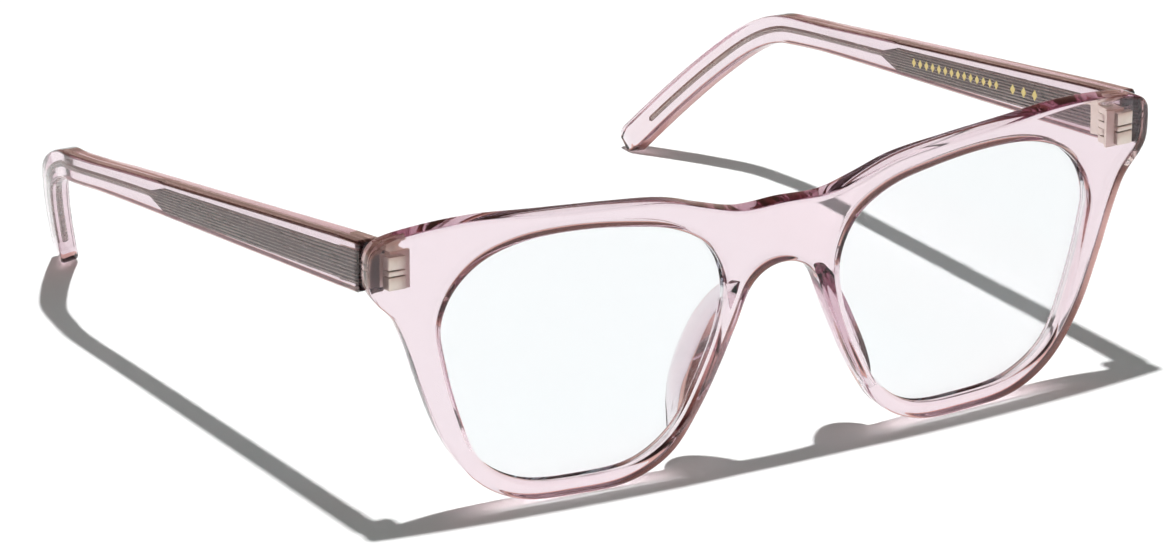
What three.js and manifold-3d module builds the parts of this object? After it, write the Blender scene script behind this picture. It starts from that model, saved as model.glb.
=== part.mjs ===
// Acetate eyeglasses with blue light filtering lenses, standing open.
// Millimetres. +Z up, the front faces -Y, the temples run to +Y, and +X is the wearer's left.
// The origin is under the middle of the object's box, on the surface that it stands on.
import * as THREE from 'three';
import { mergeVertices } from 'three/addons/utils/BufferGeometryUtils.js';
import Module from 'manifold-3d';

const wasm = await Module();
wasm.setup();

// ---------------------------------------------------------------- driving dimensions
const FACE_FORM_RADIUS = 480;       // the front is bent about an upright axis behind the wearer
const FRONT_TILT_DEG = 3;           // the top of the front leans forward
const FRONT_THICKNESS = 3.8;
const EDGE_BEVEL = 0.8;
const LENS_ROW_HEIGHT = 25.4;      // height of the outline's zero line above the table

const LENS_CENTRE = [34.4, -2.5];
const LENS_THICKNESS = 1.8;
const LENS_CROWN = 0.9;             // how far the middle of the lens stands ahead of its edge
const GROOVE_MOUTH = 2.1;
const GROOVE_DEPTH = 0.9;
const LENS_RIM_DEPTH = 0.7;         // how far the lens's V edge reaches into the groove

const TEMPLE_OUTER_X = 68.8;
const TEMPLE_FRONT_Y = 8.15;        // the foot of the temple's front end, behind the end piece
const TEMPLE_ALLOWANCE = 2;         // extra length that the slanting cut at the front end takes off
const TEMPLE_TOP_Z = 45.1;          // top edge at the front end
const TEMPLE_FALL = 0.152;          // drop of the temple's top edge per millimetre of length
const BEND_Y = 111;                 // where the straight part ends
const TIP_Y = 138.6;
const TIP_X = 53.2;
const TIP_Z = 0.47;
const WAIST_Y = 95;                 // where the temple is at its lowest height
const TEMPLE_HEIGHT = { hinge: 8.2, waist: 4.5, tip: 4.9 };
const TEMPLE_THICKNESS = { hinge: 4.2, waist: 3.6, tip: 3.0 };
const TEMPLE_CORNER = 0.6;
// From the bend to the tip, the middle line falls and leans in towards the head.
const BEND_POINTS = [[66.3, 109.5, 27.3], [65.0, 116.5, 23.9], [62.0, 123.3, 18.0], [58.1, 130.5, 10.3]];

const CORE_PLATE = { start: 1.5, end: 64, point: 69, hingeHeight: 5.1, endHeight: 3.9, thickness: 1.1 };
const CORE_DROP = 0.35;             // how far the plate lies below the temple's middle line
const CORE_DEPTH = 1.9;             // from the temple's outer face to the middle of the plate
const WIRE_RADIUS = 0.5;
const WIRE_STOP_SHORT = 7;          // length of solid acetate past the end of the wire
const CORE_GAP = 0.2;

const HINGE_X = 63.2;
const HINGE_Y = 9.65;
const HINGE_BOTTOM_Z = 37.5;
const BARREL_RADIUS = 1.3;
const BARREL_HEIGHT = 1.2;
const BARREL_GAP = 0.06;
// Counted from 0 at the bottom, even barrels are on the front and odd ones on the temple.
const BARREL_COUNT = 5;
const SCREW_RADIUS = 0.6;
const SCREW_HEAD_RADIUS = 0.95;
const SCREW_GAP = 0.05;
const HINGE_PLATE = { width: 3.2, sink: 0.6 };
// The plate's feet, sunk deep into the acetate. The spans are heights above the hinge's bottom.
const FEET = { width: 2.8, sink: 2.8, cover: 0.3, outward: 1.3 };
const FOOT_SPANS = [[0.4, 2.4], [2.65, 3.35], [3.6, 5.6]];
const TEMPLE_LEAF = { length: 7.5, thickness: 0.9, trimBelow: 0.3, trimAbove: 0.5 };
const LEAF_SETBACK = 0.4;           // from the temple's front end to its hinge leaf
const FIT_GAP = 0.1;
const HALF_DEPTH = 69.25;           // half of the whole depth, which centres the object's box

// ---------------------------------------------------------------- materials
function finish(name, color, roughness, metalness, opacity = 1) {
  const transparent = opacity < 1;
  const material = new THREE.MeshStandardMaterial({ color, roughness, metalness, opacity, transparent });
  material.name = name;
  return material;
}
const acetate = () => finish('acetate', 0xe9cdd6, 0.12, 0, 0.6);
const lensGlass = () => finish('lens', 0xe8f1f6, 0.04, 0, 0.35);
const coreMetal = () => finish('core_metal', 0x9a8f88, 0.4, 1);
const hingeMetal = () => finish('hinge_metal', 0xd8cdb4, 0.35, 1);
const screwMetal = () => finish('screw_metal', 0xb9b2a6, 0.3, 1);

// ---------------------------------------------------------------- solids
function signedVolume(geometry) {
  const p = geometry.attributes.position;
  const index = geometry.index;
  const [a, b, c] = [new THREE.Vector3(), new THREE.Vector3(), new THREE.Vector3()];
  let volume = 0;
  for (let i = 0; i < index.count; i += 3) {
    a.fromBufferAttribute(p, index.getX(i));
    b.fromBufferAttribute(p, index.getX(i + 1));
    c.fromBufferAttribute(p, index.getX(i + 2));
    volume += a.dot(b.cross(c)) / 6;
  }
  return volume;
}

// One closed, outward-facing mesh with shared vertices.
function closed(geometry) {
  geometry.deleteAttribute('normal');
  geometry.deleteAttribute('uv');
  const merged = mergeVertices(geometry, 1e-6);
  if (signedVolume(merged) < 0) {
    const order = merged.index.array;
    for (let i = 0; i < order.length; i += 3) {
      [order[i], order[i + 1]] = [order[i + 1], order[i]];
    }
  }
  return merged;
}

function toSolid(geometry) {
  const mesh = closed(geometry);
  return new wasm.Manifold(new wasm.Mesh({
    numProp: 3,
    vertProperties: new Float32Array(mesh.attributes.position.array),
    triVerts: new Uint32Array(mesh.index.array),
  }));
}

function toGeometry(solid) {
  const mesh = solid.getMesh();
  const geometry = new THREE.BufferGeometry();
  geometry.setAttribute('position', new THREE.BufferAttribute(new Float32Array(mesh.vertProperties), 3));
  geometry.setIndex(new THREE.BufferAttribute(new Uint32Array(mesh.triVerts), 1));
  return geometry;
}

const join = (...parts) => toGeometry(parts.map(toSolid).reduce((whole, next) => whole.add(next)));
const cut = (whole, ...tools) => toGeometry(
  tools.map(toSolid).reduce((rest, tool) => rest.subtract(tool), toSolid(whole)),
);

// Moves every corner of a geometry by a rule.
function reshape(geometry, rule) {
  const result = geometry.clone();
  const p = result.attributes.position;
  const point = new THREE.Vector3();
  for (let i = 0; i < p.count; i += 1) {
    point.fromBufferAttribute(p, i);
    p.setXYZ(i, ...rule(point.x, point.y, point.z));
  }
  return closed(result);
}

const mirrored = (geometry) => reshape(geometry, (x, y, z) => [-x, y, z]);

function box(low, high) {
  const size = high.map((value, i) => value - low[i]);
  const geometry = new THREE.BoxGeometry(...size);
  geometry.translate(...low.map((value, i) => value + size[i] / 2));
  return geometry;
}

function uprightCylinder(radius, bottom, top, sides = 20) {
  const geometry = new THREE.CylinderGeometry(radius, radius, top - bottom, sides);
  geometry.rotateX(Math.PI / 2);
  geometry.translate(HINGE_X, HINGE_Y, (top + bottom) / 2);
  return geometry;
}

// Rings of equal length joined into one closed skin, with a fan across each end ring.
function loft(rings) {
  const count = rings[0].length;
  const index = [];
  for (let r = 0; r + 1 < rings.length; r += 1) {
    for (let k = 0; k < count; k += 1) {
      const a = r * count + k;
      const b = r * count + (k + 1) % count;
      index.push(a, b, a + count, b, b + count, a + count);
    }
  }
  const last = (rings.length - 1) * count;
  for (let k = 1; k + 1 < count; k += 1) {
    index.push(0, k + 1, k, last, last + k, last + k + 1);
  }
  const geometry = new THREE.BufferGeometry();
  const positions = rings.flat().flatMap((point) => point.toArray());
  geometry.setAttribute('position', new THREE.Float32BufferAttribute(positions, 3));
  geometry.setIndex(index);
  return closed(geometry);
}

// ---------------------------------------------------------------- the curved front
// The front is drawn flat as (u across, v up, w back from its front face), then bent and tilted.
function bend(geometry) {
  const tilt = THREE.MathUtils.degToRad(FRONT_TILT_DEG);
  return reshape(geometry, (u, v, w) => {
    const radius = FACE_FORM_RADIUS - w;
    const y = FACE_FORM_RADIUS - radius * Math.cos(u / FACE_FORM_RADIUS);
    return [
      radius * Math.sin(u / FACE_FORM_RADIUS),
      y * Math.cos(tilt) - v * Math.sin(tilt),
      y * Math.sin(tilt) + v * Math.cos(tilt) + LENS_ROW_HEIGHT,
    ];
  });
}

// Half of the outline, from the middle of the bridge's top edge clockwise to the nose arch.
const OUTLINE_HALF = [
  [7.5, 15.9], [13.5, 17.4], [20, 19.3], [30, 20.3], [42, 21.0], [52, 21.5], [61, 20.9],
  [67.2, 19.7], [68.9, 18.4], [69.2, 15.5], [68.9, 12.0], [67.6, 10.1], [64.9, 7.3], [62.7, 2.4],
  [60.4, -4.3], [56.6, -13.6], [51.2, -20.9], [44.3, -24.7], [34.6, -25.5], [25.5, -25.0],
  [18.8, -21.6], [14.2, -15.2], [10.8, -8.6], [8.0, -2.2], [5.6, 3.4], [2.9, 5.6],
];
const BRIDGE_TOP = [0, 16.1];
const ARCH_TOP = [0, 6.2];
const OPENING = [
  [56.8, 0.2], [57.5, 5.3], [55.6, 10.5], [51.3, 14.6], [45.2, 16.8], [37.2, 17.4], [27.5, 16.6],
  [18.8, 14.7], [12.9, 10.9], [10.2, 4.8], [10.9, -2.0], [14.2, -10.6], [18.4, -17.9], [24.5, -22.0],
  [34, -22.8], [43.8, -21.8], [50.5, -17.6], [54.1, -9.6],
];

function smoothLoop(corners, steps) {
  const guides = corners.map(([u, v]) => new THREE.Vector3(u, v, 0));
  const curve = new THREE.CatmullRomCurve3(guides, true, 'centripetal');
  const points = curve.getPoints(steps).slice(0, -1).map((point) => new THREE.Vector2(point.x, point.y));
  return THREE.ShapeUtils.isClockWise(points) ? points.reverse() : points;
}

function outline() {
  const otherHalf = OUTLINE_HALF.map(([u, v]) => [-u, v]).reverse();
  return smoothLoop([BRIDGE_TOP, ...OUTLINE_HALF, ARCH_TOP, ...otherHalf], 208);
}

const opening = () => smoothLoop(OPENING, 54);

// The loop moved outwards by a distance, square to the line between each corner's neighbours.
function offsetLoop(points, distance) {
  return points.map((point, i) => {
    const before = points[(i + points.length - 1) % points.length];
    const after = points[(i + 1) % points.length];
    const along = after.clone().sub(before).normalize();
    return new THREE.Vector2(point.x + along.y * distance, point.y - along.x * distance);
  });
}

function bevelledPlate(points, holes, thickness) {
  const shape = new THREE.Shape(points);
  shape.holes = holes.map((hole) => new THREE.Path(hole));
  const geometry = new THREE.ExtrudeGeometry(shape, {
    depth: thickness - 2 * EDGE_BEVEL,
    bevelThickness: EDGE_BEVEL,
    bevelSize: EDGE_BEVEL,
    bevelOffset: -EDGE_BEVEL,
    bevelSegments: 1,
  });
  geometry.translate(0, 0, EDGE_BEVEL);
  return closed(geometry);
}

// A V-section ring that leaves the groove in the rim when it is cut away.
function lensGroove() {
  const geometry = new THREE.ExtrudeGeometry(new THREE.Shape(opening()), {
    depth: GROOVE_MOUTH / 3,
    bevelThickness: GROOVE_MOUTH / 3,
    bevelSize: GROOVE_DEPTH,
    bevelSegments: 1,
  });
  geometry.translate(0, 0, FRONT_THICKNESS / 2 - GROOVE_MOUTH / 6);
  return closed(geometry);
}

// The front's hinge plate and its three feet. With a gap, it is the hole they sit in.
function sunkPlate(gap) {
  const back = endPieceBackY();
  const outer = HINGE_X + BARREL_RADIUS;
  const plate = box(
    [outer - HINGE_PLATE.width - gap, back - HINGE_PLATE.sink - gap, HINGE_BOTTOM_Z - gap],
    [outer + gap, back + (gap > 0 ? 1 : 0.1), hingeTopZ() + gap],
  );
  const footOuter = outer + FEET.outward - (HINGE_PLATE.width - FEET.width) / 2;
  const feet = FOOT_SPANS.map(([low, high]) => box(
    [footOuter - FEET.width - gap, back - FEET.sink - gap, HINGE_BOTTOM_Z + low - gap],
    [footOuter + gap, back - FEET.cover + gap, HINGE_BOTTOM_Z + high + gap],
  ));
  return join(plate, ...feet);
}

const barrelBottom = (i) => HINGE_BOTTOM_Z + i * BARREL_HEIGHT;

const hingeTopZ = () => HINGE_BOTTOM_Z + BARREL_COUNT * BARREL_HEIGHT;

// How far back the end piece reaches at the foot of the hinge, on the bent and tilted front.
function endPieceBackY() {
  const u = HINGE_X;
  const radius = FACE_FORM_RADIUS - FRONT_THICKNESS;
  const tilt = THREE.MathUtils.degToRad(FRONT_TILT_DEG);
  const y = FACE_FORM_RADIUS - radius * Math.cos(u / FACE_FORM_RADIUS);
  const v = HINGE_BOTTOM_Z - LENS_ROW_HEIGHT;
  return y * Math.cos(tilt) - v * Math.sin(tilt);
}

function frontFrame() {
  const holes = [opening(), opening().map((point) => new THREE.Vector2(-point.x, point.y))];
  const plate = bevelledPlate(outline(), holes, FRONT_THICKNESS);
  const grooved = cut(plate, lensGroove(), mirrored(lensGroove()));
  return cut(bend(grooved), sunkPlate(FIT_GAP), mirrored(sunkPlate(FIT_GAP)));
}

// A lens blank: rings from the middle of its front face, over the V edge, to the middle of its back.
function lens() {
  const centre = new THREE.Vector2(...LENS_CENTRE);
  const edge = offsetLoop(opening(), -FIT_GAP);
  const front = (FRONT_THICKNESS - LENS_THICKNESS) / 2;
  const ring = (points, share, w) => points.map((point) => {
    const spot = point.clone().sub(centre).multiplyScalar(share).add(centre);
    return new THREE.Vector3(spot.x, spot.y, w - LENS_CROWN * (1 - share ** 2));
  });
  const shares = [0.04, 0.35, 0.65, 0.85, 1];
  const frontRings = shares.map((share) => ring(edge, share, front));
  const tip = [ring(offsetLoop(opening(), LENS_RIM_DEPTH), 1, FRONT_THICKNESS / 2)];
  const backRings = shares.map((share) => ring(edge, share, front + LENS_THICKNESS)).reverse();
  return bend(loft([...frontRings, ...tip, ...backRings]));
}

// A nose pad: sections up the nose side of the rim, each a ridge that leans away from the nose.
const NOSE_PAD = [
  { v: 3.5, u: 6.6, width: 1.8, height: 1.2 },
  { v: 1.2, u: 7.3, width: 3.0, height: 3.0 },
  { v: -2.5, u: 8.9, width: 3.6, height: 4.6 },
  { v: -7, u: 10.9, width: 3.8, height: 5.0 },
  { v: -11, u: 12.9, width: 3.6, height: 4.2 },
  { v: -14.5, u: 14.8, width: 2.9, height: 2.4 },
  { v: -16.5, u: 16.0, width: 1.6, height: 0.9 },
];

function nosePad() {
  const base = FRONT_THICKNESS + FIT_GAP;
  const rings = NOSE_PAD.map(({ v, u, width, height }) => [
    [0, 0], [0.12, 0.45], [0.35, 0.85], [0.6, 1], [0.9, 0.9], [1.1, 0.6], [1, 0],
  ].map(([across, back]) => new THREE.Vector3(u + across * width, v, base + back * height)));
  return bend(loft(rings));
}

// ---------------------------------------------------------------- temples
const mix = (a, b, share) => a + (b - a) * THREE.MathUtils.clamp(share, 0, 1);

// Height and thickness of the temple's section, from the hinge to the waist and on to the tip.
function templeSize(y, key) {
  const sizes = key === 'height' ? TEMPLE_HEIGHT : TEMPLE_THICKNESS;
  if (y < WAIST_Y) {
    return mix(sizes.hinge, sizes.waist, (y - TEMPLE_FRONT_Y) / (WAIST_Y - TEMPLE_FRONT_Y));
  }
  return mix(sizes.waist, sizes.tip, (y - WAIST_Y) / (TIP_Y - WAIST_Y));
}

// The temple's middle line: straight, then round the bend, and down to the tip, leaning inwards.
function templeLine() {
  const start = TEMPLE_FRONT_Y - TEMPLE_ALLOWANCE;
  const straight = [0, 0.25, 0.5, 0.75, 0.93].map((share) => {
    const y = start + (BEND_Y - start) * share;
    const top = TEMPLE_TOP_Z - TEMPLE_FALL * (y - TEMPLE_FRONT_Y);
    const x = TEMPLE_OUTER_X - templeSize(y, 'thickness') / 2;
    return new THREE.Vector3(x, y, top - templeSize(y, 'height') / 2);
  });
  const drop = BEND_POINTS.map(([x, y, z]) => new THREE.Vector3(x, y, z));
  const tip = new THREE.Vector3(TIP_X, TIP_Y, TIP_Z);
  return new THREE.CatmullRomCurve3([...straight, ...drop, tip], false, 'centripetal');
}

// Across and upright directions of the section at a place on the middle line.
function sectionAxes(line, t) {
  const along = line.getTangentAt(t);
  const across = new THREE.Vector3(1, 0, 0).addScaledVector(along, -along.x).normalize();
  const up = new THREE.Vector3().crossVectors(across, along).normalize();
  return { across, up };
}

// An oblong section with its corners cut off, as eight points.
function oblong(centre, axes, width, height, corner) {
  const [w, h] = [width / 2, height / 2];
  const c = Math.min(corner, 0.45 * Math.min(width, height));
  return [[w, h - c], [w - c, h], [c - w, h], [-w, h - c], [-w, c - h], [c - w, -h], [w - c, -h], [w, c - h]]
    .map(([x, z]) => centre.clone().addScaledVector(axes.across, x).addScaledVector(axes.up, z));
}

function templeBlank() {
  const line = templeLine();
  const roundTip = [0.982, 0.99, 0.996, 1];
  const places = [...Array(22).keys()].map((i) => i / 22).concat([0.965], roundTip);
  return loft(places.map((t) => {
    const centre = line.getPointAt(t);
    const end = THREE.MathUtils.clamp((t - 0.965) / 0.035, 0, 0.985);
    const round = Math.sqrt(1 - end ** 2);
    const width = templeSize(centre.y, 'thickness') * mix(0.3, 1, round);
    const height = templeSize(centre.y, 'height') * mix(0.15, 1, round);
    return oblong(centre, sectionAxes(line, t), width, height, TEMPLE_CORNER);
  }));
}

// The core's wide plate: an outline along the temple that narrows, then comes to a point.
function corePlate(grow) {
  const share = (y) => (y - CORE_PLATE.start) / CORE_PLATE.end;
  const height = (y) => mix(CORE_PLATE.hingeHeight, CORE_PLATE.endHeight, share(y));
  const start = grow > 0 ? -2 : CORE_PLATE.start;
  const half = [
    [start, height(start) / 2 + grow],
    [CORE_PLATE.end, height(CORE_PLATE.end) / 2 + grow],
    [CORE_PLATE.point + grow, WIRE_RADIUS],
  ];
  const corners = [...half, ...half.map(([y, h]) => [y, -h]).reverse()];
  const shape = new THREE.Shape(corners.map(([y, h]) => new THREE.Vector2(y, h)));
  const thickness = CORE_PLATE.thickness + 2 * grow;
  const flat = new THREE.ExtrudeGeometry(shape, { depth: thickness, bevelEnabled: false });
  return reshape(flat, (y, h, d) => {
    const place = TEMPLE_FRONT_Y + y;
    const drop = CORE_DROP * Math.min(1, (CORE_PLATE.point - y) / (CORE_PLATE.point - CORE_PLATE.end));
    const middle = TEMPLE_TOP_Z - TEMPLE_FALL * y - templeSize(place, 'height') / 2 - drop;
    return [TEMPLE_OUTER_X - CORE_DEPTH + d - thickness / 2, place, middle + h];
  });
}

function coreWire(grow) {
  const line = templeLine();
  const from = (CORE_PLATE.point - TEMPLE_ALLOWANCE) / line.getLength();
  const to = 1 - (WIRE_STOP_SHORT - grow) / line.getLength();
  const steps = 24;
  const places = [...Array(steps + 1).keys()].map((i) => mix(from, to, i / steps));
  const path = new THREE.CatmullRomCurve3(places.map((t) => line.getPointAt(t)));
  const radius = WIRE_RADIUS + grow;
  const section = new THREE.Shape([...Array(8).keys()].map((k) => {
    const angle = (k + 0.5) * Math.PI / 4;
    return new THREE.Vector2(radius * Math.cos(angle), radius * Math.sin(angle));
  }));
  return closed(new THREE.ExtrudeGeometry(section, { steps, extrudePath: path, bevelEnabled: false }));
}

const core = (grow) => join(corePlate(grow), coreWire(grow));

// The temple's hinge leaf lies in a pocket in the temple's inner face, and falls along with the temple.
function templeLeafBox(gap) {
  const inner = TEMPLE_OUTER_X - TEMPLE_THICKNESS.hinge;
  const start = TEMPLE_FRONT_Y + LEAF_SETBACK;
  const low = [inner - (gap > 0 ? 1 : 0), start - gap, HINGE_BOTTOM_Z + TEMPLE_LEAF.trimBelow - gap];
  const top = hingeTopZ() - TEMPLE_LEAF.trimAbove;
  const high = [inner + TEMPLE_LEAF.thickness + gap, start + TEMPLE_LEAF.length + gap, top + gap];
  return reshape(box(low, high), (x, y, z) => [x, y, z - TEMPLE_FALL * (y - start)]);
}

// The temple's front end is cut parallel to the back of the front, which leans forward at the top.
function frontEndCut() {
  const lean = Math.tan(THREE.MathUtils.degToRad(FRONT_TILT_DEG));
  const block = box([55, -10, 25], [80, TEMPLE_FRONT_Y, 55]);
  return reshape(block, (x, y, z) => [x, y - (z - HINGE_BOTTOM_Z) * lean, z]);
}

const temple = () => cut(templeBlank(), frontEndCut(), core(CORE_GAP), templeLeafBox(FIT_GAP));

// ---------------------------------------------------------------- hinges
// Every other knuckle, each joined to its plate by a neck.
function knuckles(first, neck) {
  const pieces = [];
  for (let i = first; i < BARREL_COUNT; i += 2) {
    const bottom = barrelBottom(i) + BARREL_GAP;
    const top = barrelBottom(i + 1) - BARREL_GAP;
    pieces.push(uprightCylinder(BARREL_RADIUS, bottom, top), neck(bottom, top));
  }
  return pieces;
}

const screwHole = () => uprightCylinder(SCREW_RADIUS + SCREW_GAP, HINGE_BOTTOM_Z - 1, hingeTopZ() + 1);

function frontHinge() {
  const neck = (bottom, top) => box(
    [HINGE_X - BARREL_RADIUS, endPieceBackY() - 0.2, bottom],
    [HINGE_X + BARREL_RADIUS, HINGE_Y, top],
  );
  return cut(join(sunkPlate(0), ...knuckles(0, neck)), screwHole());
}

function templeHinge() {
  const inner = TEMPLE_OUTER_X - TEMPLE_THICKNESS.hinge;
  const neck = (bottom, top) => box(
    [HINGE_X, HINGE_Y - BARREL_RADIUS * 0.6, bottom],
    [inner + 0.3, HINGE_Y + BARREL_RADIUS, top],
  );
  return cut(join(templeLeafBox(0), ...knuckles(1, neck)), screwHole());
}

function hingeScrew() {
  const top = hingeTopZ() + SCREW_GAP;
  const shank = uprightCylinder(SCREW_RADIUS, HINGE_BOTTOM_Z, top + 0.1, 16);
  const head = uprightCylinder(SCREW_HEAD_RADIUS, top, top + 0.5, 16);
  const slot = box(
    [HINGE_X - SCREW_HEAD_RADIUS - 1, HINGE_Y - 0.15, top + 0.25],
    [HINGE_X + SCREW_HEAD_RADIUS + 1, HINGE_Y + 0.15, top + 1],
  );
  return cut(join(shank, head), slot);
}

// ---------------------------------------------------------------- assembly
const glasses = new THREE.Group();

function place(name, geometry, material) {
  const mesh = new THREE.Mesh(geometry, material);
  mesh.name = name;
  glasses.add(mesh);
}

// The origin goes to the middle of the object's depth.
glasses.position.y = -HALF_DEPTH;

place('front_frame', frontFrame(), acetate());

// The wearer's left pieces are modelled at +X, and the right ones are their mirror images.
for (const side of ['left', 'right']) {
  const onSide = (geometry) => (side === 'left' ? geometry : mirrored(geometry));
  place(`lens_${side}`, onSide(lens()), lensGlass());
  place(`nose_pad_${side}`, onSide(nosePad()), acetate());
  place(`temple_${side}`, onSide(temple()), acetate());
  place(`core_wire_${side}`, onSide(core(0)), coreMetal());
  place(`front_hinge_${side}`, onSide(frontHinge()), hingeMetal());
  place(`temple_hinge_${side}`, onSide(templeHinge()), hingeMetal());
  place(`hinge_screw_${side}`, onSide(hingeScrew()), screwMetal());
}

export default glasses;
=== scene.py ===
"""Clear pink acetate eyeglasses with blue light filtering lenses, standing open on a pale floor.

Shapes are worked out in millimetres, in the front's own flat drawing (u across, v up, w back from its
front face) or in the frame, and are scaled to metres when their meshes are made.
The wearer's left pieces are modelled at +X, and the right ones are their mirror images.
"""
import math

import bpy
import numpy as np
from mathutils import Matrix, Vector
from mathutils.geometry import delaunay_2d_cdt


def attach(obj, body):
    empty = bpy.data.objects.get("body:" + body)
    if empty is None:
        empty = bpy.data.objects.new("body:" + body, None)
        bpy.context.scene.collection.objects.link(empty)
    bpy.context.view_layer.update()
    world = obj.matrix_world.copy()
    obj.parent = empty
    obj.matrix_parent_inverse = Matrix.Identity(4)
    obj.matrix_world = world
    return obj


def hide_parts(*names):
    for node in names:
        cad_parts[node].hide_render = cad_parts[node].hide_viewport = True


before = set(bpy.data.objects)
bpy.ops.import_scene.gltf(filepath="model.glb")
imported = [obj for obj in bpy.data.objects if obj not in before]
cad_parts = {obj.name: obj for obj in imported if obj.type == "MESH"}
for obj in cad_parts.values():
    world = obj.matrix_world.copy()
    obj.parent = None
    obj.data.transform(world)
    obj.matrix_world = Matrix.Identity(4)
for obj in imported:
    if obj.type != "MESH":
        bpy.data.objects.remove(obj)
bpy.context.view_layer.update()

MM = 0.001

# ---------------------------------------------------------------- driving dimensions, in millimetres
HALF_DEPTH = 69.25            # the frame's origin is this far behind the middle of the front
FACE_FORM_RADIUS = 480        # the front is bent about an upright axis this far behind it
FRONT_TILT = math.radians(3)
FRONT_THICKNESS = 3.8
LENS_ROW_HEIGHT = 25.4        # height of the drawing's level line above the floor
EDGE_ROUNDING = 0.7
RIM_ROUNDING = 0.8
SUPPORT = 0.12                # width of the flat strip that keeps the faces' shading flat
CURVE_STEPS = 24              # points on each stretch of a drawn outline
OUTLINE_POINTS = 760
OPENING_POINTS = 300
FAIRING_ROUNDS = 6
FACE_GRID = 1.6               # spacing of the points inside the flat faces, which let them bend

LENS_CENTRE = np.array([34.4, -2.5])
LENS_THICKNESS = 1.8
LENS_CROWN = 0.9
GROOVE_MOUTH = 2.1
GROOVE_DEPTH = 0.6
LENS_RIM_DEPTH = 0.4
FIT_GAP = 0.1
LENS_RINGS = 34

# Temple sizes: x from the middle plane, y behind the front's face and z above the floor.
TEMPLE_OUTER_X = 68.8
TEMPLE_FRONT_Y = 8.15
TEMPLE_TOP_Z = 45.1
TEMPLE_FALL = 0.152           # drop of the temple's top for each millimetre further back
BEND_Y = 111
WAIST_Y = 95
TIP = [53.2, 138.6, 0.47]
TEMPLE_HEIGHT = {"hinge": 8.2, "waist": 4.5, "tip": 4.9}
TEMPLE_THICKNESS = {"hinge": 4.2, "waist": 3.6, "tip": 3.0}
TEMPLE_CORNER = 0.5
TEMPLE_CURVE_STEPS = 40
TEMPLE_FAIRING_ROUNDS = 60
TEMPLE_SECTIONS = 260
END_ROUNDING = 0.25
TIP_WIDTH_SHARE = 0.25        # how much of its thickness and height the temple keeps at its very end
TIP_HEIGHT_SHARE = 0.06
END_CAP_SHARE = 0.985         # a ring just inside the front end's edge keeps its shading flat
SQUARE_LENGTH = 8             # over this length the front end turns parallel to the back of the front
BEND_POINTS = [[66.3, 109.5, 27.3], [65.0, 116.5, 23.9], [62.0, 123.3, 18.0], [58.1, 130.5, 10.3]]

CORE_PLATE = {"start": 1.5, "end": 64, "point": 69, "hinge_height": 5.1, "end_height": 3.9}
CORE_DROP = 0.35              # how far the plate lies below the temple's middle
CORE_THICKNESS = 1.1
CORE_DEPTH = 1.9              # from the temple's outer face to the middle of the core
CORE_RIBS = 9
RIB_HEIGHT = 0.16
RIB_LEVELS = 121              # points up each side of a section, enough to draw the ribs
PLATE_STEP = 0.5
PLATE_EDGE = 0.25             # the plate thins towards its long edges over this height
PLATE_EDGE_SHARE = 0.35       # to this share of its thickness
POINT_SECTIONS = 12
POINT_SHARE = 0.9             # the point's height as a share of the wire's thickness
WIRE_RADIUS = 0.5
WIRE_SECTIONS = 400
WIRE_OVERLAP = 2.5            # the wire starts this far inside the plate's point
WIRE_SHIFT = 8                # and is in the middle of the temple this far behind it
WIRE_STOP_SHORT = 7
WIRE_SIDES = 24
WIRE_CREST = 0.7              # the wire's colour, between the painted shade of the grooves (0) and the ribs' colour (1)

# Foil lozenges: distance from the temple's front end, width and height.
SMALL_MARKS = [(58 - 1.9 * k, 1.2, 1.6) for k in range(14)]
LARGE_MARKS = [(28.5 - 3.2 * k, 1.5, 1.9) for k in range(3)]
FOIL_LIFT = 0.02
FOIL_RISE = 0.5

HINGE_X = 63.2
HINGE_Y = 9.65
HINGE_BOTTOM_Z = 37.5
BARREL_RADIUS = 1.3
BARREL_HEIGHT = 1.2
BARREL_GAP = 0.06
BARREL_COUNT = 5
CYLINDER_SIDES = 48
HINGE_BORE = 0.66
HINGE_ROUNDING = 0.1
PLATE_WIDTH = 3.2
PLATE_SINK = 0.6
PLATE_PROUD = 0.15
FOOT_WIDTH = 2.8
FOOT_OUTWARD = 1.3
FOOT_COVER = 0.3
FEET = [(0.4, 2.4), (2.65, 3.35), (3.6, 5.6)]   # each foot's bottom and top above the hinge's bottom
FOOT_SINK = 2.8
LEAF_LENGTH = 7.5
LEAF_THICKNESS = 0.9
LEAF_SETBACK = 0.4
LEAF_PROUD = 0.05
LEAF_TRIM = {"below": 0.3, "above": 0.5}
NECK_SINK = {"front": 0.1, "temple": 0.3}       # how far each knuckle's neck runs into its plate
SCREW_RADIUS = 0.6
SCREW_ROUNDING = 0.06
SCREW_HEAD = {"radius": 0.95, "height": 0.5, "lift": 0.05}
SCREW_SLOT = {"half_width": 0.15, "above_base": 0.25}

OUTLINE_HALF = [
    [7.5, 15.9], [13.5, 17.4], [20, 19.3], [30, 20.3], [42, 21.0], [52, 21.5], [61, 20.9],
    [67.2, 19.7], [68.9, 18.4], [69.2, 15.5], [68.9, 12.0], [67.6, 10.1], [64.9, 7.3], [62.7, 2.4],
    [60.4, -4.3], [56.6, -13.6], [51.2, -20.9], [44.3, -24.7], [34.6, -25.5], [25.5, -25.0],
    [18.8, -21.6], [14.2, -15.2], [10.8, -8.6], [8.0, -2.2], [5.6, 3.4], [2.9, 5.6],
]
BRIDGE_TOP = [0, 16.1]
ARCH_TOP = [0, 6.2]
OPENING = [
    [56.8, 0.2], [57.5, 5.3], [55.6, 10.5], [51.3, 14.6], [45.2, 16.8], [37.2, 17.4], [27.5, 16.6],
    [18.8, 14.7], [12.9, 10.9], [10.2, 4.8], [10.9, -2.0], [14.2, -10.6], [18.4, -17.9], [24.5, -22.0],
    [34, -22.8], [43.8, -21.8], [50.5, -17.6], [54.1, -9.6],
]
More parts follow.
